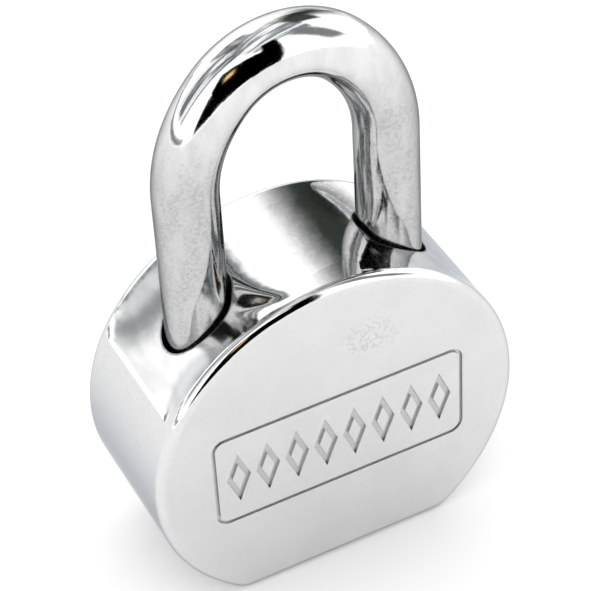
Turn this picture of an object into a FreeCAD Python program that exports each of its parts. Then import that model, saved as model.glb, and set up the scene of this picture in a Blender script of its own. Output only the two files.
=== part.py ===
import FreeCAD, Part
import math
import os

V = FreeCAD.Vector
os.makedirs("parts", exist_ok=True)

# Frame: millimetres, +Z up out of the shackle, the engraved face looks along -Y,
# origin at the centre of the flat underside.

# ---- Body ----
DISC_R = 32.5             # radius of the disc
DISC_T = 27.8             # thickness front to back
DISC_Z = 26.4             # height of the disc axis above the flat underside
LIP_ROUND = 1.5           # rounding of the front and back outlines
FOOT_ROUND = 3.0          # rounding where the flat underside meets the rim
HALF_T = DISC_T / 2

# ---- Saddles around the shackle holes ----
LIP_Y = 12.2              # inner edge of the front and back lips
SADDLE_OUTER = 62.0       # where a saddle runs out on the rim, degrees from the top
SADDLE_DEEP_AT = 40.0     # where it is deepest
SADDLE_DEPTH_HEEL = 2.3   # how deep it is there beside the heel leg
SADDLE_DEPTH_TOE = 0.85   # and beside the toe leg
SADDLE_INNER_DEPTH = 1.3  # its depth where it wraps the island
SADDLE_SECTION = 2.6      # power of the dish across the disc: 2 is a bowl, higher is flatter
ISLAND_R = 12.2           # half-width of the island between the holes, in plan
ISLAND_SQUEEZE = 0.92     # its half-width over its half-length towards the front
ISLAND_SQUEEZE_BACK = 0.7 # and towards the back, where it is broader
ISLAND_SLOPE = 0.85       # slope of its flank
ISLAND_ROUND = 0.5        # how softly the flank starts
ISLAND_SINK = 0.05        # how far the island top sits below the lips
BLEND = 0.35              # softness where the flank runs into the dish

# ---- Shackle ----
BAR_R = 5.3
LEG_X = 17.3              # half the spacing of the legs
ARCH_Z = 74.5             # height where the legs end and the arch begins
ARCH_RISE = 21.75         # rise of the arch centreline
ARCH_TOP_R = 14.2         # bend radius over the top
HEEL_END_Z = 18.0
TOE_END_Z = 40.5
LIFT = 16.5               # travel of the shackle
HOLE_R = 5.9              # leg holes in the body
HEEL_HOLE_Z = 8.0         # floor of the heel hole
TOE_HOLE_Z = 38.5         # floor of the toe hole

# ---- Locking balls and cam ----
BALL_R = 4.0
BALL_Z = 45.5
BALL_X = 10.5             # ball centre when locked
BALL_TRAVEL = 2.7         # how far each ball moves in
CHANNEL_R = 4.05
CAM_R = 6.4               # where it holds the balls out
CAM_BASE_R = 6.6
CAM_CHAMBER_R = 6.9
CAM_CHAMBER_TOP = 50.5
CAM_LOW_Z = 31.6
CAM_STEP_Z = 40.9         # the profiled part is above this
CAM_TOP_Z = 50.1
CAM_TURN = 90.0
CAM_CLEAR = 0.12

# ---- Lock cylinder ----
BORE_R = 7.5              # cylinder bore in the body
BORE_TOP = 31.3
SHELL_R = 7.4
SHELL_LOW_Z = 3.4
SHELL_TOP_Z = 29.4
HOUSING_W = 7.0           # width of the pin housing
HOUSING_Y = 11.3          # back of the pin housing
PLUG_R = 5.2
PLUG_BORE_R = 5.25
PLUG_LOW_Z = 0.9
PLUG_TOP_Z = 31.0
FLANGE_R = 6.2
FLANGE_LOW_Z = 2.3
FLANGE_TOP_Z = 3.3
KEYWAY_W = 1.7
KEYWAY_LOW_Y = -4.1
KEYWAY_TOP_Y = 2.6
PIN_COUNT = 5
PIN_FIRST_Z = 7.2
PIN_PITCH = 4.0
PIN_R = 1.42
CHAMBER_R = 1.5
SHEAR_Y = 4.95            # outer ends of the key pins
DRIVER_LOW_Y = 5.35
DRIVER_LEN = 2.3
KEY_PIN_TIPS = [0.9, -0.5, 0.4, -0.9, 0.2]
STRIP_LOW_Y = 10.45
STRIP_T = 0.75
STRIP_W = 4.0
CLIP_R = 6.5
CLIP_Z = 29.6
CLIP_T = 0.8
CLIP_GROOVE_R = 4.4
TAIL_W = 2.6
TAIL_L = 8.0
TAIL_TOP_Z = 35.4

# ---- Guard plate and retaining pins ----
GUARD_R = 10.0
GUARD_LOW_Z = 0.4
GUARD_TOP_Z = 2.2
GUARD_WINDOW_R = 5.5
KEEPER_R = 1.5            # both retaining pins
KEEPER_Z = 27.0           # height of the cylinder pin
HEEL_PIN_Z = 37.6
HEEL_PIN_TIP_Y = 3.95
SLOT_DEPTH = 1.5
SLOT_W = 3.3

# ---- Springs ----
SHACKLE_WIRE_R = 0.6
SHACKLE_COIL_R = 3.9
SHACKLE_COILS = 6
PIN_WIRE_R = 0.2
PIN_COIL_R = 1.1
PIN_COILS = 3

# ---- Engraving ----
FRAME_HALF_W = 22.8
FRAME_LOW = -9.2          # from the disc axis
FRAME_HIGH = 9.8
FRAME_CORNER = 2.4
FRAME_LINE = 0.65
ENGRAVE_DEPTH = 0.45
LOZENGE_COUNT = 8
LOZENGE_PITCH = 5.25
LOZENGE_W = 4.3
LOZENGE_H = 10.6
LOZENGE_LINE = 0.95


def save(shape, node):
    """Write one finished piece."""
    if not shape.isValid():
        raise ValueError(node + " is not a valid solid")
    if len(shape.Solids) != 1:
        raise ValueError(node + " has " + str(len(shape.Solids)) + " solids")
    shape.Solids[0].exportStep("parts/" + node + ".step")


def rod(x, y, low, high, radius):
    """Upright cylinder."""
    return Part.makeCylinder(radius, high - low, V(x, y, low), V(0, 0, 1))


def rod_y(x, z, near, far, radius):
    """Cylinder running front to back."""
    return Part.makeCylinder(radius, far - near, V(x, near, z), V(0, 1, 0))


def block(x0, x1, y0, y1, z0, z1):
    return Part.makeBox(x1 - x0, y1 - y0, z1 - z0, V(x0, y0, z0))


def slab(points, near, thick):
    """Prism from an outline in the XZ plane, from y = near towards the back."""
    wire = Part.makePolygon([V(x, near, z) for x, z in points + points[:1]])
    return Part.Face(wire).extrude(V(0, thick, 0))


def rounded_frame(half_w, low, high, corner, y):
    """Rounded rectangle face in the XZ plane at depth y."""
    def arc(cx, cz, start):
        pts = []
        for step in (0, 45, 90):
            a = math.radians(start + step)
            pts.append(V(cx + corner * math.cos(a), y, cz + corner * math.sin(a)))
        return Part.Arc(*pts).toShape()
    arcs = [
        arc(half_w - corner, high - corner, 0),
        arc(-half_w + corner, high - corner, 90),
        arc(-half_w + corner, low + corner, 180),
        arc(half_w - corner, low + corner, 270),
    ]
    edges = []
    for i, edge in enumerate(arcs):
        following = arcs[(i + 1) % 4]
        edges.append(edge)
        edges.append(Part.makeLine(edge.Vertexes[-1].Point, following.Vertexes[0].Point))
    return Part.Face(Part.Wire(edges))


def soft_min(values, softness):
    """Smallest of the values with the corners between them rounded."""
    total = sum(math.exp(-v / softness) for v in values)
    return -softness * math.log(total)


def soft_ramp(value, softness):
    """Zero below nothing, the value above it, rounded in between."""
    return softness * math.log(1.0 + math.exp(value / softness))


def saddle_depth(angle, y):
    """Depth of the dished top below the rim, at an angle from the top and a depth y."""
    away = abs(angle)
    deepest = SADDLE_DEPTH_HEEL if angle < 0 else SADDLE_DEPTH_TOE
    if away > SADDLE_DEEP_AT:
        share = (away - SADDLE_DEEP_AT) / (SADDLE_OUTER - SADDLE_DEEP_AT)
        floor = deepest * (1 - share ** 3)
    else:
        share = (SADDLE_DEEP_AT - away) / SADDLE_DEEP_AT
        floor = deepest - (deepest - SADDLE_INNER_DEPTH) * share ** 2
    across = 1 - abs(y / LIP_Y) ** SADDLE_SECTION
    dish = floor * across if across > 0 else deepest * across
    squeeze = ISLAND_SQUEEZE if y < 0 else ISLAND_SQUEEZE_BACK
    plan_r = math.hypot(DISC_R * math.sin(math.radians(away)), y * squeeze)
    flank = ISLAND_SINK + ISLAND_SLOPE * soft_ramp(plan_r - ISLAND_R, ISLAND_ROUND)
    return soft_min([dish, flank], BLEND)


def saddle_cutter():
    """Everything above the dished top surface."""
    rows = []
    columns = 67
    for i in range(columns):
        angle = -66.0 + 132.0 * i / (columns - 1)
        a = math.radians(angle)
        row = []
        for j in range(45):
            y = -13.2 + 26.4 * j / 44
            r = DISC_R - saddle_depth(angle, y)
            row.append(V(r * math.sin(a), y, DISC_Z + r * math.cos(a)))
        rows.append(row)
    surface = Part.BSplineSurface()
    surface.interpolate(rows)
    return surface.toShape().extrude(V(0, 0, 30))


def disc_blank():
    """Disc with a flat underside, rounded feet and rounded outlines."""
    # circle centre of each rounded foot: tangent to the underside and inside the rim
    foot_z = FOOT_ROUND
    foot_x = math.sqrt((DISC_R - FOOT_ROUND) ** 2 - (DISC_Z - foot_z) ** 2)
    reach = DISC_R / (DISC_R - FOOT_ROUND)
    rim_x = foot_x * reach
    rim_z = DISC_Z + (foot_z - DISC_Z) * reach
    y = -HALF_T
    mid = math.atan2(rim_z - foot_z, rim_x - foot_x)
    half_way = (mid - math.pi / 2) / 2
    right_mid = V(foot_x + FOOT_ROUND * math.cos(half_way), y,
                  foot_z + FOOT_ROUND * math.sin(half_way))
    left_mid = V(-right_mid.x, y, right_mid.z)
    wire = Part.Wire([
        Part.makeLine(V(-foot_x, y, 0), V(foot_x, y, 0)),
        Part.Arc(V(foot_x, y, 0), right_mid, V(rim_x, y, rim_z)).toShape(),
        Part.Arc(V(rim_x, y, rim_z), V(0, y, DISC_Z + DISC_R), V(-rim_x, y, rim_z)).toShape(),
        Part.Arc(V(-rim_x, y, rim_z), left_mid, V(-foot_x, y, 0)).toShape(),
    ])
    solid = Part.Face(wire).extrude(V(0, DISC_T, 0))
    outline = []
    for edge in solid.Edges:
        box = edge.BoundBox
        if box.YLength < 0.01:
            outline.append(edge)
    return solid.makeFillet(LIP_ROUND, outline)


def engraving():
    """Frame line and a plain row of lozenges on the front face."""
    y = -HALF_T - 0.5
    deep = 0.5 + ENGRAVE_DEPTH
    outer = rounded_frame(FRAME_HALF_W, DISC_Z + FRAME_LOW, DISC_Z + FRAME_HIGH,
                          FRAME_CORNER, y).extrude(V(0, deep, 0))
    inner = rounded_frame(FRAME_HALF_W - FRAME_LINE, DISC_Z + FRAME_LOW + FRAME_LINE,
                          DISC_Z + FRAME_HIGH - FRAME_LINE, FRAME_CORNER - FRAME_LINE,
                          y).extrude(V(0, deep, 0))
    cuts = [outer.cut(inner)]
    mid_z = DISC_Z + (FRAME_LOW + FRAME_HIGH) / 2
    shrink = LOZENGE_LINE * math.hypot(LOZENGE_W, LOZENGE_H)
    for i in range(LOZENGE_COUNT):
        x = (i - (LOZENGE_COUNT - 1) / 2) * LOZENGE_PITCH
        half_w = LOZENGE_W / 2
        half_h = LOZENGE_H / 2
        core_w = half_w - shrink / LOZENGE_H
        core_h = half_h - shrink / LOZENGE_W
        big = slab([(x - half_w, mid_z), (x, mid_z - half_h),
                    (x + half_w, mid_z), (x, mid_z + half_h)], y, deep)
        core = slab([(x - core_w, mid_z), (x, mid_z - core_h),
                     (x + core_w, mid_z), (x, mid_z + core_h)], y, deep)
        cuts.append(big.cut(core))
    return cuts


def make_body():
    body = disc_blank().cut(saddle_cutter())
    heel = rod(-LEG_X, 0, HEEL_HOLE_Z, 70, HOLE_R)
    toe = rod(LEG_X, 0, TOE_HOLE_Z, 70, HOLE_R)
    channel = Part.makeCylinder(CHANNEL_R, 28, V(-14, 0, BALL_Z), V(1, 0, 0))
    chamber = rod(0, 0, BORE_TOP - 1, CAM_CHAMBER_TOP, CAM_CHAMBER_R)
    bore = rod(0, 0, -1, BORE_TOP, BORE_R)
    slack = 0.1
    slot = block(-HOUSING_W / 2 - slack, HOUSING_W / 2 + slack, 0, HOUSING_Y + slack,
                 1.0, SHELL_TOP_Z + 0.2)
    guard_seat = rod(0, 0, -1, GUARD_TOP_Z, GUARD_R)
    keeper = rod_y(0, KEEPER_Z, HOUSING_Y - 2, HALF_T + 1, KEEPER_R)
    heel_keeper = rod_y(-LEG_X, HEEL_PIN_Z, 4, HALF_T + 1, KEEPER_R)
    cuts = [heel, toe, channel, chamber, bore, slot, guard_seat, keeper, heel_keeper]
    body = body.cut(cuts)
    return body.cut(engraving())


def arch_pieces():
    """The bend: a tight arc over the top that eases into a wider one down each side."""
    tuck = LEG_X - ARCH_TOP_R
    rise = ARCH_RISE - ARCH_TOP_R
    offset = (tuck ** 2 + rise ** 2) / (2 * tuck)
    side_r = ARCH_TOP_R + offset
    swing = math.degrees(math.asin(rise / offset))
    pieces = []
    for side in (-1, 1):
        section = Part.Face(Part.Wire([Part.makeCircle(BAR_R, V(side * LEG_X, 0, ARCH_Z), V(0, 0, 1))]))
        centre = V(side * (LEG_X - side_r), 0, ARCH_Z)
        pieces.append(section.revolve(centre, V(0, -side, 0), swing))
    top = V(0, 0, ARCH_Z + rise)
    a = math.radians(swing)
    start = V(top.x + ARCH_TOP_R * math.cos(a), 0, top.z + ARCH_TOP_R * math.sin(a))
    across = V(-math.sin(a), 0, math.cos(a))
    section = Part.Face(Part.Wire([Part.makeCircle(BAR_R, start, across)]))
    pieces.append(section.revolve(top, V(0, -1, 0), 180 - 2 * swing))
    return pieces


def make_shackle():
    """Bar swept along legs and arch, then notched."""
    heel = rod(-LEG_X, 0, HEEL_END_Z, ARCH_Z, BAR_R)
    toe = rod(LEG_X, 0, TOE_END_Z, ARCH_Z, BAR_R)
    heel = heel.makeFillet(0.8, [e for e in heel.Edges if e.BoundBox.ZMax < HEEL_END_Z + 0.1])
    toe = toe.makeFillet(0.8, [e for e in toe.Edges if e.BoundBox.ZMax < TOE_END_Z + 0.1])
    bar = heel.fuse([toe] + arch_pieces()).removeSplitter()
    cuts = []
    for side in (-1, 1):
        start = V(side * BALL_X, 0, BALL_Z)
        end = V(side * (BALL_X - BALL_TRAVEL), 0, BALL_Z - LIFT)
        run = end - start
        notch = Part.makeCylinder(BALL_R + 0.08, run.Length, start, run)
        cuts.append(notch)
        cuts.append(Part.makeSphere(BALL_R + 0.08, start))
        if side < 0:
            cuts.append(Part.makeSphere(BALL_R + 0.08, end))
    # straight slot and turning groove for the heel retaining pin
    low = HEEL_PIN_Z - LIFT
    cuts.append(block(-LEG_X - SLOT_W / 2, -LEG_X + SLOT_W / 2, BAR_R - SLOT_DEPTH, BAR_R + 1,
                      low, HEEL_PIN_Z + SLOT_W / 2))
    groove = rod(-LEG_X, 0, low - SLOT_W / 2, low + SLOT_W / 2, BAR_R + 1)
    cuts.append(groove.cut(rod(-LEG_X, 0, low - 3, low + 3, BAR_R - SLOT_DEPTH)))
    return bar.cut(cuts)


def cam_radius(turned):
    """Radius of the cam in the direction that meets a ball after the cam has turned this far."""
    best = CAM_R
    for step in range(91):
        ball_x = BALL_X - BALL_TRAVEL * step / 90.0
        swing = math.radians(turned - step * CAM_TURN / 90.0)
        if math.cos(swing) <= 0:
            continue
        off = ball_x * math.sin(swing)
        reach = BALL_R + 0.02
        if abs(off) >= reach:
            continue
        near = ball_x * math.cos(swing) - math.sqrt(reach ** 2 - off ** 2)
        best = min(best, near - CAM_CLEAR)
    return best


def make_cam():
    base = rod(0, 0, CAM_LOW_Z, CAM_STEP_Z, CAM_BASE_R)
    points = []
    for i in range(72):
        turned = i * 5.0
        r = cam_radius(turned if turned < 150 else turned - 360)
        other = turned - 180.0
        r = min(r, cam_radius(other))
        a = math.radians(-turned)
        points.append(V(r * math.cos(a), r * math.sin(a), CAM_STEP_Z))
    curve = Part.BSplineCurve()
    curve.interpolate(Points=points, PeriodicFlag=True)
    top = Part.Face(Part.Wire([curve.toShape()])).extrude(V(0, 0, CAM_TOP_Z - CAM_STEP_Z))
    cam = base.fuse(top)
    socket = block(-TAIL_W / 2 - 0.1, TAIL_W / 2 + 0.1, -TAIL_L / 2 - 0.2, TAIL_L / 2 + 0.2,
                   CAM_LOW_Z - 1, TAIL_TOP_Z + 0.2)
    return cam.cut(socket)


def pin_heights():
    return [PIN_FIRST_Z + PIN_PITCH * i for i in range(PIN_COUNT)]


def make_shell():
    shell = rod(0, 0, SHELL_LOW_Z, SHELL_TOP_Z, SHELL_R)
    housing = block(-HOUSING_W / 2, HOUSING_W / 2, 0, HOUSING_Y, SHELL_LOW_Z, SHELL_TOP_Z)
    edges = [e for e in housing.Edges
             if e.BoundBox.ZLength > 10 and e.BoundBox.YMin > HOUSING_Y - 0.1]
    shell = shell.fuse(housing.makeFillet(0.9, edges))
    cuts = [rod(0, 0, SHELL_LOW_Z - 1, SHELL_TOP_Z + 1, PLUG_BORE_R)]
    for z in pin_heights():
        cuts.append(rod_y(0, z, 3, STRIP_LOW_Y + 0.2, CHAMBER_R))
    cuts.append(block(-STRIP_W / 2 - 0.05, STRIP_W / 2 + 0.05, STRIP_LOW_Y - 0.02, HOUSING_Y + 1,
                      PIN_FIRST_Z - 2.25, PIN_FIRST_Z + PIN_PITCH * (PIN_COUNT - 1) + 2.0))
    cuts.append(rod_y(0, KEEPER_Z, HOUSING_Y - 2.0, HOUSING_Y + 1, KEEPER_R + 0.05))
    return shell.cut(cuts)


def make_plug():
    plug = rod(0, 0, PLUG_LOW_Z, PLUG_TOP_Z, PLUG_R)
    rim = [e for e in plug.Edges if e.BoundBox.ZMax < PLUG_LOW_Z + 0.1]
    plug = plug.makeChamfer(0.35, rim)
    plug = plug.fuse(rod(0, 0, FLANGE_LOW_Z, FLANGE_TOP_Z, FLANGE_R))
    cuts = [
        block(-KEYWAY_W / 2, KEYWAY_W / 2, KEYWAY_LOW_Y, KEYWAY_TOP_Y, PLUG_LOW_Z - 1, 28.0),
        block(KEYWAY_W / 2 - 0.05, KEYWAY_W / 2 + 0.75, -1.6, -0.4, PLUG_LOW_Z - 1, 28.0),
        block(-KEYWAY_W / 2 - 0.7, -KEYWAY_W / 2 + 0.05, -3.3, -2.3, PLUG_LOW_Z - 1, 28.0),
    ]
    for z in pin_heights():
        cuts.append(rod_y(0, z, -1.4, PLUG_R + 1, CHAMBER_R))
    ring = rod(0, 0, CLIP_Z - 0.05, CLIP_Z + CLIP_T + 0.05, PLUG_R + 1)
    cuts.append(ring.cut(rod(0, 0, CLIP_Z - 1, CLIP_Z + 2, CLIP_GROOVE_R)))
    plug = plug.cut(cuts)
    seat = block(-TAIL_W / 2, TAIL_W / 2, -TAIL_L / 2, TAIL_L / 2, PLUG_TOP_Z - 1.0, PLUG_TOP_Z + 1)
    return plug.cut(seat)


def make_key_pin(index):
    tip = KEY_PIN_TIPS[index]
    z = pin_heights()[index]
    straight = rod_y(0, z, tip + 0.8, SHEAR_Y, PIN_R)
    point = Part.makeCone(0.55, PIN_R, 0.8, V(0, tip, z), V(0, 1, 0))
    return straight.fuse(point).removeSplitter()


def make_driver_pin(index):
    z = pin_heights()[index]
    pin = rod_y(0, z, DRIVER_LOW_Y, DRIVER_LOW_Y + DRIVER_LEN, PIN_R)
    return pin.makeChamfer(0.25, [e for e in pin.Edges if e.BoundBox.YLength < 0.01])


def coil(turns, length, coil_r, wire_r):
    """Round wire wound about the Z axis, from z = 0 to z = length."""
    rise = length - 2 * wire_r
    steps = 8 * turns
    points = []
    for i in range(steps + 1):
        a = 2 * math.pi * turns * i / steps
        points.append(V(coil_r * math.cos(a), coil_r * math.sin(a), wire_r + rise * i / steps))
    path = Part.BSplineCurve()
    path.interpolate(Points=points)
    climb = rise / (2 * math.pi * coil_r * turns)
    ring = Part.Wire([Part.makeCircle(wire_r, points[0], V(0, 1, climb))])
    return Part.Wire([path.toShape()]).makePipeShell([ring], True, False)


def make_pin_spring(index):
    low = DRIVER_LOW_Y + DRIVER_LEN + 0.03
    spring = coil(PIN_COILS, STRIP_LOW_Y - 0.05 - low, PIN_COIL_R, PIN_WIRE_R)
    spring.rotate(V(0, 0, 0), V(1, 0, 0), -90)
    spring.translate(V(0, low, pin_heights()[index]))
    return spring


def make_shackle_spring():
    spring = coil(SHACKLE_COILS, HEEL_END_Z - HEEL_HOLE_Z - 0.1, SHACKLE_COIL_R, SHACKLE_WIRE_R)
    spring.translate(V(-LEG_X, 0, HEEL_HOLE_Z + 0.05))
    return spring


def make_strip():
    strip = block(-STRIP_W / 2, STRIP_W / 2, STRIP_LOW_Y, STRIP_LOW_Y + STRIP_T,
                  PIN_FIRST_Z - 2.2, PIN_FIRST_Z + PIN_PITCH * (PIN_COUNT - 1) + 1.95)
    return strip


def make_clip():
    clip = rod(0, 0, CLIP_Z, CLIP_Z + CLIP_T, CLIP_R)
    mouth = block(-CLIP_GROOVE_R, CLIP_GROOVE_R, -CLIP_R - 1, 0, CLIP_Z - 1, CLIP_Z + 2)
    throat = rod(0, 0, CLIP_Z - 1, CLIP_Z + 2, CLIP_GROOVE_R + 0.05)
    return clip.cut([mouth, throat])


def make_tail():
    return block(-TAIL_W / 2 + 0.02, TAIL_W / 2 - 0.02, -TAIL_L / 2 + 0.02, TAIL_L / 2 - 0.02,
                 PLUG_TOP_Z - 0.98, TAIL_TOP_Z)


def make_guard():
    guard = rod(0, 0, GUARD_LOW_Z, GUARD_TOP_Z - 0.02, GUARD_R - 0.03)
    rim = [e for e in guard.Edges if e.BoundBox.ZMax < GUARD_LOW_Z + 0.1]
    guard = guard.makeChamfer(0.3, rim)
    return guard.cut(rod(0, 0, -1, 4, GUARD_WINDOW_R))


def keeper_pin(x, z, tip_y):
    pin = rod_y(x, z, tip_y, HALF_T - 0.1, KEEPER_R - 0.01)
    return pin.makeChamfer(0.25, [e for e in pin.Edges if e.BoundBox.YLength < 0.01])


save(make_body(), "body")
save(make_shackle(), "shackle")
save(Part.makeSphere(BALL_R, V(-BALL_X, 0, BALL_Z)), "ball_heel")
save(Part.makeSphere(BALL_R, V(BALL_X, 0, BALL_Z)), "ball_toe")
save(make_cam(), "cam")
save(make_shell(), "cylinder_shell")
save(make_plug(), "plug")
for number in range(PIN_COUNT):
    save(make_key_pin(number), "key_pin_" + str(number + 1))
    save(make_driver_pin(number), "driver_pin_" + str(number + 1))
    save(make_pin_spring(number), "pin_spring_" + str(number + 1))
save(make_strip(), "chamber_strip")
save(make_clip(), "plug_clip")
save(make_tail(), "tail_bar")
save(make_guard(), "guard_plate")
save(keeper_pin(0, KEEPER_Z, HOUSING_Y - 1.9), "cylinder_pin")
save(keeper_pin(-LEG_X, HEEL_PIN_Z, HEEL_PIN_TIP_Y), "heel_pin")
save(make_shackle_spring(), "shackle_spring")
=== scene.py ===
import bmesh
import bpy
import math
from mathutils import Matrix, Vector


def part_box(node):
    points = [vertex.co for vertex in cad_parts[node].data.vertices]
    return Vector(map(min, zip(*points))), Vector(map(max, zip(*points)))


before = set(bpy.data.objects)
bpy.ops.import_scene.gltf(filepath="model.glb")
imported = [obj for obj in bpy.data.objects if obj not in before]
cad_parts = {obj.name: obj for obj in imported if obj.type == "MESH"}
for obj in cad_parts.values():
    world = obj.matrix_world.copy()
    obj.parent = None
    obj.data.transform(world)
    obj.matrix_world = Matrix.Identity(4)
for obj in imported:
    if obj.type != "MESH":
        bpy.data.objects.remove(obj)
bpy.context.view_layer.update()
scene = bpy.context.scene

MM = 0.001

# ---- camera ----
CAM_AZ = -25.17           # degrees round from straight in front
CAM_EL = 42.13            # degrees above the horizon
CAM_ROLL = -3.47
CAM_AWAY = 0.4333         # metres from the aim point
CAM_AIM = Vector((0, 0, 0.020))
CAM_SIDE = -0.00044       # the camera's offset across and up its own picture
CAM_UP = 0.01971
CAM_LENS = 155.4          # on a sensor of this width
CAM_SENSOR = 36.0


def make_camera():
    az = math.radians(CAM_AZ)
    el = math.radians(CAM_EL)
    roll = math.radians(CAM_ROLL)
    back = Vector((math.sin(az) * math.cos(el), -math.cos(az) * math.cos(el), math.sin(el)))
    right = (-back).cross(Vector((0, 0, 1))).normalized()
    up = right.cross(-back)
    side = right * math.cos(roll) + up * math.sin(roll)
    over = -right * math.sin(roll) + up * math.cos(roll)
    spot = CAM_AIM + back * CAM_AWAY + side * CAM_SIDE + over * CAM_UP
    data = bpy.data.cameras.new("camera")
    data.lens = CAM_LENS
    data.sensor_width = CAM_SENSOR
    data.clip_start = 0.01
    data.clip_end = 20.0
    cam = bpy.data.objects.new("camera", data)
    turn = Matrix((side, over, back)).transposed().to_4x4()
    cam.matrix_world = Matrix.Translation(spot) @ turn
    scene.collection.objects.link(cam)
    scene.camera = cam


make_camera()

# ---- places on the lock, from the frame ----
BODY_LOW, BODY_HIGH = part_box("body")
DISC_R = BODY_HIGH.x
FACE_Y = BODY_HIGH.y
DISC_Z = BODY_HIGH.z - DISC_R       # height of the disc axis
SHACKLE_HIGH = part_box("shackle")[1]
BAR_R = SHACKLE_HIGH.y
LEG_X = SHACKLE_HIGH.x - BAR_R      # half the spacing of the legs
HOLE_R = BAR_R + 0.6 * MM           # leg holes
LIP_Y = 12.4 * MM                   # where the saddles end and the front and back lips begin
ARCH_FROM = SHACKLE_HIGH.z - 8 * MM     # polished from here up
LEG_FROM = SHACKLE_HIGH.z - 24 * MM     # dull and pitted from here down
ENGRAVED_R = 27 * MM                # the engraving lies within this distance of the disc axis


# ---- how a finish is put together ----
class Finish:
    """A procedural material. Its patterns lie in the lock's own space, with sizes in metres."""

    def __init__(self, name, colour, roughness, metallic=1.0):
        self.mat = bpy.data.materials.new(name)
        self.mat.use_nodes = True
        self.tree = self.mat.node_tree
        self.shader = self.tree.nodes["Principled BSDF"]
        self.place = self.node("ShaderNodeTexCoord").outputs["Object"]
        self.give("Base Color", colour)
        self.give("Roughness", roughness)
        self.give("Metallic", metallic)

    def node(self, kind, **settings):
        made = self.tree.nodes.new(kind)
        for key, value in settings.items():
            setattr(made, key, value)
        return made

    def feed(self, socket, value):
        """Link an output into a socket, or set the socket itself."""
        if isinstance(value, bpy.types.NodeSocket):
            self.tree.links.new(value, socket)
        else:
            socket.default_value = value

    def give(self, name, value):
        if isinstance(value, tuple):
            value = (*value, 1.0)
        self.feed(self.shader.inputs[name], value)

    def moved(self, shift=(0, 0, 0), stretch=(1, 1, 1)):
        """The lock's space, shifted and then squeezed along each axis."""
        mapping = self.node("ShaderNodeMapping")
        self.feed(mapping.inputs["Vector"], self.place)
        mapping.inputs["Scale"].default_value = stretch
        mapping.inputs["Location"].default_value = [s * m for s, m in zip(shift, stretch)]
        return mapping.outputs[0]

    def along(self, axis):
        split = self.node("ShaderNodeSeparateXYZ")
        self.feed(split.inputs[0], self.place)
        return split.outputs[axis]

    def math(self, how, first, second=0.0):
        made = self.node("ShaderNodeMath", operation=how)
        self.feed(made.inputs[0], first)
        self.feed(made.inputs[1], second)
        return made.outputs[0]

    def reach(self, space):
        """Distance from the middle of a space."""
        made = self.node("ShaderNodeVectorMath", operation="LENGTH")
        self.feed(made.inputs[0], space)
        return made.outputs["Value"]

    def span(self, value, low, high, at_low=0.0, at_high=1.0):
        """A value eased from one level to another between two limits."""
        made = self.node("ShaderNodeMapRange", interpolation_type="SMOOTHSTEP")
        self.feed(made.inputs["Value"], value)
        made.inputs["From Min"].default_value = low
        made.inputs["From Max"].default_value = high
        made.inputs["To Min"].default_value = at_low
        made.inputs["To Max"].default_value = at_high
        return made.outputs[0]

    def cloud(self, size, detail=3.0, space=None):
        """Soft mottling with patches of about this size."""
        made = self.node("ShaderNodeTexNoise")
        self.feed(made.inputs["Vector"], space or self.place)
        made.inputs["Scale"].default_value = 1.0 / size
        made.inputs["Detail"].default_value = detail
        made.inputs["Roughness"].default_value = 0.6
        return made.outputs[0]

    def dots(self, size, share):
        """Specks at random spots: 1 on a speck, 0 between them."""
        cells = self.node("ShaderNodeTexVoronoi")
        self.feed(cells.inputs["Vector"], self.place)
        cells.inputs["Scale"].default_value = 1.0 / size
        near = self.span(cells.outputs["Distance"], share * 0.5, share, 1.0, 0.0)
        pick = self.span(self.cloud(size * 6, 1.0), 0.50, 0.60)
        return self.math("MULTIPLY", near, pick)

    def mix(self, share, first, second):
        """Between two levels or two colours, by a share from 0 to 1."""
        colours = isinstance(first, tuple) or isinstance(second, tuple)
        kind = "RGBA" if colours else "FLOAT"
        made = self.node("ShaderNodeMix", data_type=kind)
        sockets = [s for s in made.inputs if s.type == ("RGBA" if colours else "VALUE")]
        ends = sockets if colours else sockets[1:]
        self.feed(made.inputs[0], share)
        for socket, value in zip(ends, (first, second)):
            if isinstance(value, tuple):
                value = (*value, 1.0)
            self.feed(socket, value)
        outputs = [s for s in made.outputs if s.type == ("RGBA" if colours else "VALUE")]
        return outputs[0]

    def emboss(self, height, depth):
        """Fine relief: a height from 0 to 1 stands for this many metres."""
        bump = self.node("ShaderNodeBump")
        self.feed(bump.inputs["Height"], height)
        bump.inputs["Strength"].default_value = 1.0
        bump.inputs["Distance"].default_value = depth
        under = self.shader.inputs["Normal"]
        if under.is_linked:
            self.feed(bump.inputs["Normal"], under.links[0].from_socket)
        self.feed(under, bump.outputs[0])


def grey(level):
    return (level, level, level)


# ---- finishes of this lock ----
def in_leg_hole(f, side):
    """1 on the wall and edge of a leg hole, 0 elsewhere; side is -1 for the heel, 1 for the toe."""
    away = f.reach(f.moved(shift=(-side * LEG_X, 0, 0), stretch=(1, 1, 0)))
    inside = f.span(away, HOLE_R + 0.05 * MM, HOLE_R + 0.40 * MM, 1.0, 0.0)
    above_feet = f.span(f.along("Z"), 5 * MM, 7 * MM)
    return f.math("MULTIPLY", inside, above_feet)


def in_engraving(f, from_axis):
    """1 on the floor and walls of the engraving in the front face, 0 elsewhere."""
    y = f.along("Y")
    below_face = f.span(y, -FACE_Y + 0.05 * MM, -FACE_Y + 0.16 * MM)
    not_deep = f.span(y, -FACE_Y + 0.8 * MM, -FACE_Y + 1.0 * MM, 1.0, 0.0)
    not_rim = f.span(from_axis, ENGRAVED_R, ENGRAVED_R + 1 * MM, 1.0, 0.0)
    return f.math("MULTIPLY", f.math("MULTIPLY", below_face, not_deep), not_rim)


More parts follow.
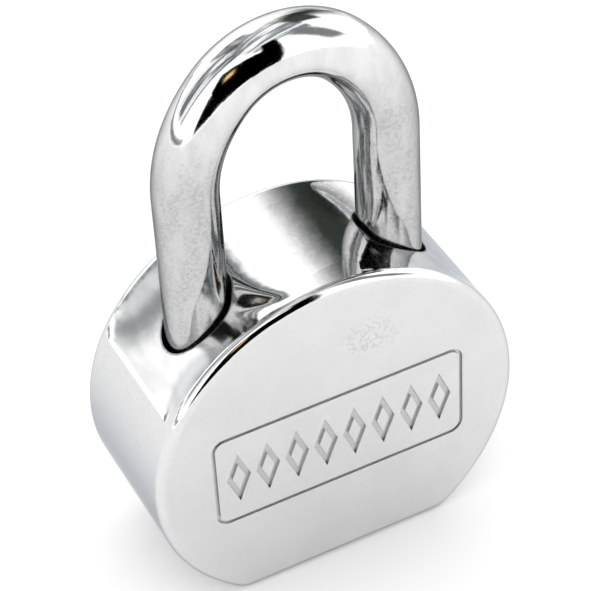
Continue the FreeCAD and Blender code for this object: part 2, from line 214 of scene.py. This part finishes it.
def on_faces(f, from_middle):
    """1 on the flat front and back faces, 0 elsewhere."""
    return f.span(from_middle, FACE_Y - 0.08 * MM, FACE_Y - 0.02 * MM)


def in_saddles(f, from_axis, from_middle):
    """1 on the dished top, between the lips, 0 elsewhere."""
    below_rim = f.span(from_axis, DISC_R - 0.5 * MM, DISC_R - 0.1 * MM, 1.0, 0.0)
    between_lips = f.span(from_middle, LIP_Y, LIP_Y + 0.6 * MM, 1.0, 0.0)
    return f.math("MULTIPLY", below_rim, between_lips)


def handled_patch(f, mottle):
    """Smudge left by fingers above the engraved frame."""
    away = f.reach(f.moved(shift=(-6 * MM, 0, -46 * MM), stretch=(0.7, 0, 1)))
    near = f.span(away, 1.5 * MM, 5 * MM, 0.55, 0.0)
    return f.math("MULTIPLY", near, f.span(mottle, 0.46, 0.60))


def tarnish_and_dark_reflection_patch(f):
    """Patch on the island beside the toe leg, towards the back: painted dark reflection with a tarnish
    tint.
    """
    away = f.reach(f.moved(shift=(-11 * MM, -7 * MM, -57 * MM), stretch=(1, 0.6, 0.7)))
    return f.span(away, 1.5 * MM, 5.5 * MM, 0.9, 0.0)


def body_chrome():
    """Chrome plate: satin faces, a bright rim, softer saddles, a dull engraving darkened with painted
    shade, stained leg holes, and a painted dark reflection by the toe leg.
    """
    f = Finish("chromed_body", grey(0.7), 0.1)
    f.give("Specular Tint", (0.55, 0.57, 0.60))
    from_axis = f.reach(f.moved(shift=(0, 0, -DISC_Z), stretch=(1, 0, 1)))
    from_middle = f.math("ABSOLUTE", f.along("Y"))
    face = on_faces(f, from_middle)
    saddle = in_saddles(f, from_axis, from_middle)
    cut = in_engraving(f, from_axis)
    hole = f.math("MAXIMUM", in_leg_hole(f, -1), in_leg_hole(f, 1))

    mottle = f.cloud(0.7 * MM, 5.0)
    wide = f.cloud(9 * MM, 3.0)
    dull = f.cloud(5 * MM, 2.0, f.moved(stretch=(1, 0.4, 1)))
    specks = f.dots(0.9 * MM, 0.13)

    face_tone = f.mix(f.span(wide, 0.35, 0.65), (0.655, 0.67, 0.65), (0.685, 0.695, 0.68))
    face_tone = f.mix(f.span(mottle, 0.50, 0.72, 0.0, 0.35), face_tone, (0.61, 0.62, 0.60))
    face_tone = f.mix(handled_patch(f, mottle), face_tone, (0.47, 0.48, 0.46))
    rim_tone = f.mix(f.span(mottle, 0.42, 0.62), (0.665, 0.665, 0.715), (0.70, 0.70, 0.735))
    dish_tone = f.mix(f.span(dull, 0.36, 0.60), (0.55, 0.585, 0.61), (0.69, 0.70, 0.69))
    # film is that patch's colour: its darkness is a painted dark reflection, its gold a tarnish tint
    film = f.mix(f.span(mottle, 0.45, 0.62), (0.27, 0.29, 0.22), (0.50, 0.43, 0.24))
    stain = f.mix(f.span(mottle, 0.40, 0.60), (0.30, 0.21, 0.09), (0.62, 0.47, 0.22))
    tone = f.mix(saddle, rim_tone, dish_tone)
    # Painted dark reflection, with a tarnish tint, beside the toe leg towards the back
    tone = f.mix(tarnish_and_dark_reflection_patch(f), tone, film)
    tone = f.mix(face, tone, face_tone)
    tone = f.mix(f.math("MULTIPLY", specks, 0.5), tone, (0.25, 0.25, 0.24))
    # Engraving: the duller cut is real, its darker colour is painted shade in the grooves
    tone = f.mix(cut, tone, (0.53, 0.535, 0.52))
    f.give("Base Color", f.mix(hole, tone, stain))

    rim_shine = f.mix(f.span(mottle, 0.35, 0.65), 0.06, 0.11)
    outward = f.span(f.math("ABSOLUTE", f.along("X")), 15 * MM, 22 * MM)
    dish_shine = f.mix(outward, f.mix(f.span(wide, 0.35, 0.65), 0.10, 0.14), 0.24)
    face_shine = f.mix(f.span(mottle, 0.35, 0.65), 0.16, 0.26)
    shine = f.mix(saddle, rim_shine, dish_shine)
    shine = f.mix(face, shine, face_shine)
    shine = f.mix(cut, shine, 0.34)
    f.give("Roughness", f.mix(hole, shine, 0.45))

    f.emboss(f.cloud(2.2 * MM, 2.0), 0.012 * MM)
    f.emboss(f.cloud(0.35 * MM, 3.0), 0.0012 * MM)
    return f.mat


def shackle_chrome():
    """Bright, slightly rippled arch over dull, finely pitted legs."""
    f = Finish("shackle_steel", grey(0.66), 0.06)
    f.give("Specular Tint", (0.30, 0.31, 0.31))
    leg = f.span(f.along("Z"), LEG_FROM, ARCH_FROM, 1.0, 0.0)
    grain = f.cloud(0.55 * MM, 5.0)
    streak = f.cloud(2.4 * MM, 4.0, f.moved(stretch=(1, 1, 0.35)))
    pits = f.dots(0.8 * MM, 0.20)

    leg_tone = f.mix(f.span(grain, 0.36, 0.62), (0.43, 0.44, 0.425), (0.53, 0.54, 0.525))
    leg_tone = f.mix(f.span(streak, 0.42, 0.66, 0.0, 0.7), leg_tone, (0.58, 0.585, 0.58))
    arch_tone = f.mix(f.span(streak, 0.38, 0.62), (0.66, 0.665, 0.69), (0.73, 0.73, 0.745))
    tone = f.mix(leg, arch_tone, leg_tone)
    marks = f.math("MULTIPLY", pits, f.mix(leg, 0.12, 0.6))
    f.give("Base Color", f.mix(marks, tone, (0.17, 0.17, 0.165)))

    arch_shine = f.mix(f.span(streak, 0.35, 0.65), 0.045, 0.10)
    leg_shine = f.mix(f.span(grain, 0.35, 0.65), 0.07, 0.14)
    f.give("Roughness", f.mix(leg, arch_shine, leg_shine))

    f.emboss(f.cloud(1.3 * MM, 3.0), 0.008 * MM)
    f.emboss(f.math("MULTIPLY", grain, leg), 0.004 * MM)
    return f.mat


def ground_steel(name, tone, shine, grain_size, grain_depth, stretch):
    """Ground or drawn steel: fine lines along the axis with the small stretch, over worn patches."""
    f = Finish(name, grey(tone), shine)
    lines = f.cloud(grain_size, 3.0, f.moved(stretch=stretch))
    wear = f.cloud(grain_size * 6, 3.0)
    dark = (tone * 0.80, tone * 0.81, tone * 0.83)
    light = (tone * 1.08, tone * 1.08, tone * 1.07)
    f.give("Base Color", f.mix(f.span(wear, 0.35, 0.65), dark, light))
    f.give("Roughness", f.mix(f.span(lines, 0.35, 0.65), shine * 0.8, shine * 1.25))
    f.emboss(lines, grain_depth)
    return f.mat


def turned_metal(name, light, dark, shine, pitch):
    """Turned metal: faint tool rings about the lock cylinder's axis, with a dulled film."""
    f = Finish(name, light, shine)
    rings = f.node("ShaderNodeTexWave", wave_type="RINGS", rings_direction="Z")
    f.feed(rings.inputs["Vector"], f.place)
    rings.inputs["Scale"].default_value = 1.0 / (pitch * 20)
    rings.inputs["Distortion"].default_value = 0.6
    film = f.cloud(1.8 * MM, 4.0)
    f.give("Base Color", f.mix(f.span(film, 0.35, 0.68), light, dark))
    f.give("Roughness", f.mix(f.span(film, 0.35, 0.65), shine * 0.8, shine * 1.4))
    f.emboss(rings.outputs["Fac"], 0.002 * MM)
    return f.mat


def dress(mat, nodes):
    """Give a finish to each of these nodes."""
    for name in nodes:
        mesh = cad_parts[name].data
        mesh.materials.clear()
        mesh.materials.append(mat)


def numbered(stem):
    """The nodes whose names start with this stem."""
    return [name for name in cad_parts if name.startswith(stem)]


EVEN = (1, 1, 1)            # grain the same every way
ALONG_Y = (1, 0.05, 1)      # grain drawn out from front to back

dress(body_chrome(), ["body"])
dress(shackle_chrome(), ["shackle"])
dress(ground_steel("ball_steel", 0.70, 0.06, 0.5 * MM, 0.0005 * MM, EVEN), numbered("ball_"))
dress(ground_steel("driver_steel", 0.58, 0.25, 0.2 * MM, 0.001 * MM, ALONG_Y), numbered("driver_pin_"))
dress(ground_steel("spring_wire", 0.50, 0.28, 0.15 * MM, 0.001 * MM, EVEN), numbered("pin_spring_"))
dress(ground_steel("shackle_spring_wire", 0.50, 0.26, 0.3 * MM, 0.001 * MM, EVEN), ["shackle_spring"])
dress(ground_steel("clip_steel", 0.30, 0.38, 0.4 * MM, 0.002 * MM, EVEN), ["plug_clip"])
dress(ground_steel("keeper_steel", 0.62, 0.18, 0.2 * MM, 0.001 * MM, ALONG_Y), ["cylinder_pin", "heel_pin"])

CAM_LIGHT = (0.52, 0.52, 0.53)
CAM_DARK = (0.40, 0.39, 0.38)
GUARD_LIGHT = (0.50, 0.51, 0.53)
GUARD_DARK = (0.36, 0.36, 0.37)
SHELL_LIGHT = (0.80, 0.61, 0.30)
SHELL_DARK = (0.60, 0.43, 0.19)
PLUG_LIGHT = (0.84, 0.66, 0.34)
PLUG_DARK = (0.68, 0.50, 0.23)
PIN_LIGHT = (0.82, 0.64, 0.33)
PIN_DARK = (0.64, 0.46, 0.21)
dress(turned_metal("cam_steel", CAM_LIGHT, CAM_DARK, 0.28, 0.20 * MM), ["cam", "tail_bar"])
dress(turned_metal("guard_steel", GUARD_LIGHT, GUARD_DARK, 0.30, 0.30 * MM), ["guard_plate"])
dress(turned_metal("cylinder_brass", SHELL_LIGHT, SHELL_DARK, 0.30, 0.25 * MM),
      ["cylinder_shell", "chamber_strip"])
dress(turned_metal("plug_brass", PLUG_LIGHT, PLUG_DARK, 0.20, 0.16 * MM), ["plug"])
dress(turned_metal("pin_brass", PIN_LIGHT, PIN_DARK, 0.24, 0.12 * MM), numbered("key_pin_"))

# ---- studio ----
ROOM_LIGHT = 1.75
FLOOR_WHITE = 0.72
FLOOR_SIZE = 6.0
FLOOR_DROP = 0.2 * MM               # keeps the floor off the flat underside
CARD_AWAY = 1.5
CARD_AIM = Vector((0, 0, 0.07))     # all the cards face this spot in the shackle

scene.view_settings.view_transform = "Standard"
world = bpy.data.worlds.new("studio")
world.use_nodes = True
world.node_tree.nodes["Background"].inputs["Color"].default_value = (1, 1, 1, 1)
world.node_tree.nodes["Background"].inputs["Strength"].default_value = ROOM_LIGHT
scene.world = world


def panel(name, centre, facing, width, height, mat):
    """Flat panel turned to face a point."""
    mesh = bpy.data.meshes.new(name)
    sheet = bmesh.new()
    shape = Matrix.Diagonal((width / 2, height / 2, 1, 1))
    bmesh.ops.create_grid(sheet, x_segments=1, y_segments=1, size=1.0, matrix=shape)
    sheet.to_mesh(mesh)
    sheet.free()
    mesh.materials.append(mat)
    obj = bpy.data.objects.new(name, mesh)
    look = (Vector(facing) - Vector(centre)).to_track_quat("Z", "Y")
    obj.matrix_world = Matrix.Translation(centre) @ look.to_matrix().to_4x4()
    scene.collection.objects.link(obj)
    return obj


def card_material(name, colour, half_w, half_h, soft, streaks):
    """Glow of one colour that fades out towards the card's edges, and in streaks across it."""
    f = Finish(name, colour, 0.5)
    f.tree.nodes.remove(f.shader)
    out = f.tree.nodes["Material Output"]
    mix = f.node("ShaderNodeMixShader")
    clear = f.node("ShaderNodeBsdfTransparent")
    glow = f.node("ShaderNodeEmission")
    glow.inputs["Color"].default_value = (*colour, 1.0)
    fade_x = f.span(f.math("ABSOLUTE", f.along("X")), half_w - soft, half_w, 1.0, 0.0)
    fade_y = f.span(f.math("ABSOLUTE", f.along("Y")), half_h - soft, half_h, 1.0, 0.0)
    cover = f.math("MULTIPLY", fade_x, fade_y)
    if streaks > 0:
        folds = f.cloud(0.2, 3.0, f.moved(stretch=(1, 0.12, 1)))
        cover = f.math("MULTIPLY", cover, f.span(folds, 0.42, 0.56, 1.0 - streaks, 1.0))
    f.feed(mix.inputs[0], cover)
    f.feed(mix.inputs[1], clear.outputs[0])
    f.feed(mix.inputs[2], glow.outputs[0])
    f.feed(out.inputs["Surface"], mix.outputs[0])
    return f.mat


def card(name, around, up, half_wide, half_tall, colour, soft, tilt=0.0, away=CARD_AWAY, streaks=0.0):
    """Card that only shows as a reflection. Angles are in degrees, as seen from the lock:
    around from straight behind towards the right, up above level. soft is the fade at its edges,
    and streaks is how much of the card the streaks take away."""
    a = math.radians(around)
    e = math.radians(up)
    towards = Vector((math.sin(a) * math.cos(e), math.cos(a) * math.cos(e), math.sin(e)))
    half_w = away * math.tan(math.radians(half_wide))
    half_h = away * math.tan(math.radians(half_tall))
    fade = away * math.tan(math.radians(soft))
    mat = card_material(name, colour, half_w, half_h, fade, streaks)
    obj = panel(name, CARD_AIM + towards * away, CARD_AIM, 2 * half_w, 2 * half_h, mat)
    obj.matrix_world = obj.matrix_world @ Matrix.Rotation(math.radians(tilt), 4, "Z")
    obj.visible_camera = False
    obj.visible_diffuse = False
    obj.visible_shadow = False
    return obj


floor_mat = Finish("floor", grey(FLOOR_WHITE), 0.8, 0.0).mat
panel("floor", (0, 0, -FLOOR_DROP), (0, 0, 1), FLOOR_SIZE, FLOOR_SIZE, floor_mat)
card("card_ceiling", 60, 85, 31, 31, (0.33, 0.36, 0.38), soft=6, streaks=0.8)
card("card_left", -70, 42, 23, 34, (0.22, 0.245, 0.27), soft=7, streaks=0.75)
card("card_behind_left", -27, 49, 15, 19, (0.13, 0.15, 0.15), soft=7, streaks=0.3)
card("card_right", 121, 40, 15, 25, (0.28, 0.30, 0.30), soft=9)
card("card_back", 41, 32, 19, 32, (0.045, 0.055, 0.048), soft=17, away=1.45)
card("card_back_high", 56, 48, 13, 15, (0.07, 0.08, 0.075), soft=6, away=1.42)
card("card_front", -158, 27, 31, 27, grey(0.0), soft=3, away=1.4)
card("card_front_right", 172, 34, 9, 36, grey(0.0), soft=3, away=1.4)
card("card_warm", -140, 39, 7, 7, (1.3, 0.8, 0.3), soft=5, tilt=-35, away=1.3)
card("card_horizon", -60, 2.0, 50, 2.5, (0.30, 0.33, 0.36), soft=1.2, away=1.6)
